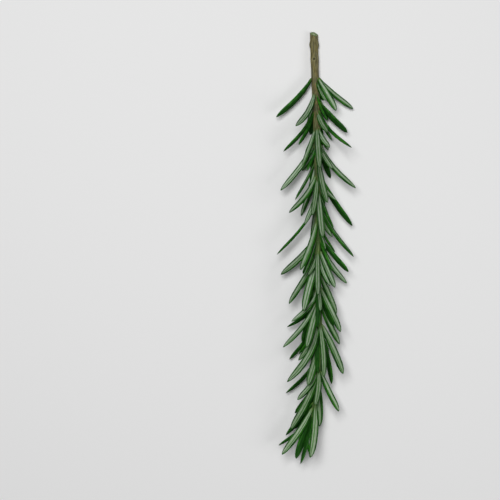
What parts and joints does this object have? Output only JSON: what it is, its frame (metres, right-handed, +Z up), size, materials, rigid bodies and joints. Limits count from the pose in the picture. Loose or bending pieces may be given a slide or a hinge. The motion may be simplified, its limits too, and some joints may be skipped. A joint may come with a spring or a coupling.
{
  "type": "rosemary sprig",
  "caption": "cut sprig of fresh rosemary lying down, narrow leaves in pairs up a woody stem, for kitchen scenes and garnish",
  "frame": {"origin": "on the surface that the sprig lies on, under the middle of its box", "axes": "+Z up; the sprig lies along Y with its cut end towards +Y and its growing tip towards -Y; +X is to the right when it is looked down on with the cut end at the top"},
  "size_m": [0.0322, 0.1743, 0.0227],
  "materials": {
    "woody_stem": "matte",
    "leaves": "satin"
  },
  "bodies": {
    "root": {"woody_stem": "woody_stem", "leafy_stem": "leaves"}
  },
  "joints": []
}
